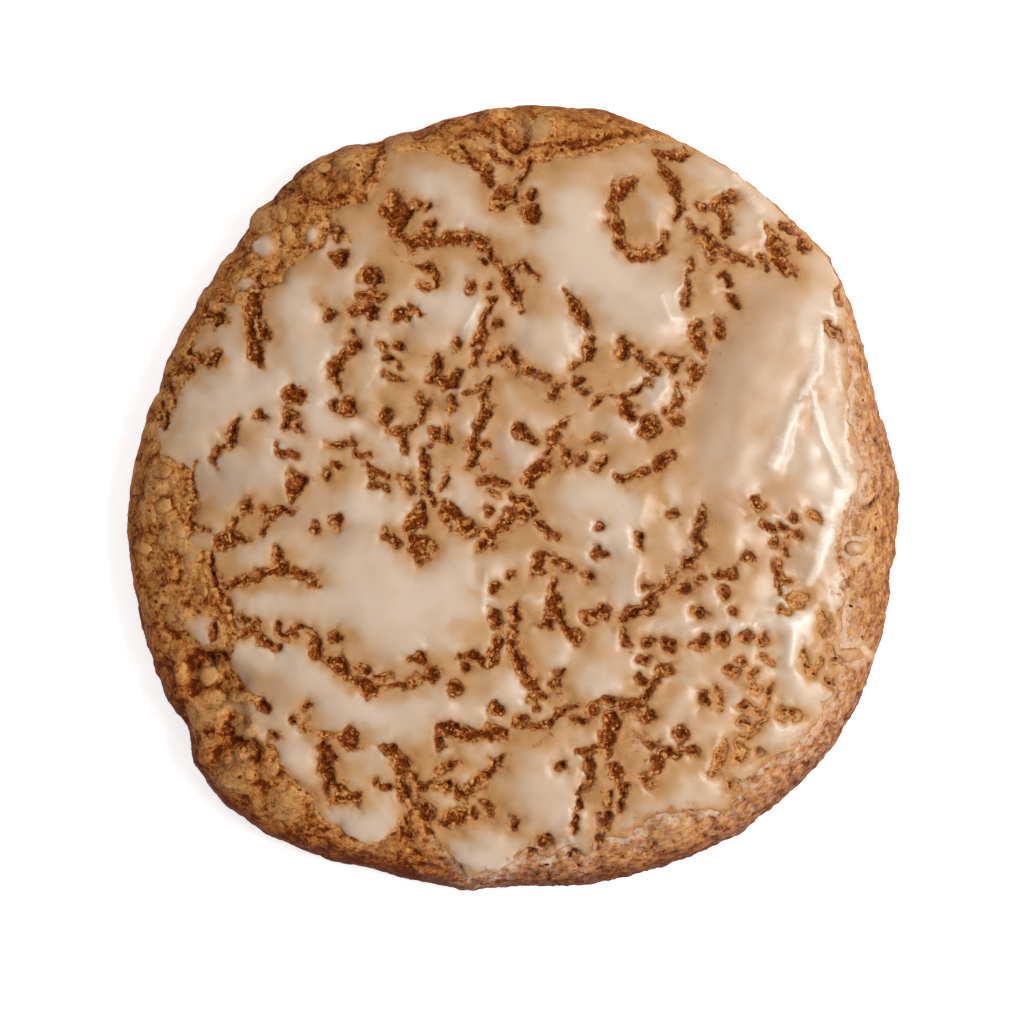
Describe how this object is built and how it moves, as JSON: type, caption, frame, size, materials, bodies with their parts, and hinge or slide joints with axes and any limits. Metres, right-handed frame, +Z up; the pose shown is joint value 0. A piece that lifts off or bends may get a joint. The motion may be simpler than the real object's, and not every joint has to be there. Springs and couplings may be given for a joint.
{
  "type": "iced oatmeal cookie",
  "caption": "Round soft oatmeal cookie with a craggy browned crust, a thin cracked off-white icing sheet on top and loose dabs of icing round it.",
  "frame": {"origin": "middle of the cookie's footprint, on the surface that it lies on", "axes": "+Z up through the iced top; +X is the picture's right and +Y is the picture's top"},
  "size_m": [0.0824, 0.0838, 0.0135],
  "materials": {
    "crust": "browned, craggy, matte baked crust",
    "icing": "soft satin sugar icing, amber where it is thin"
  },
  "bodies": {
    "root": {"biscuit": "crust", "icing": "icing", "icing_dab_1": "icing", "icing_dab_2": "icing", "icing_dab_3": "icing", "icing_dab_4": "icing"}
  },
  "joints": []
}
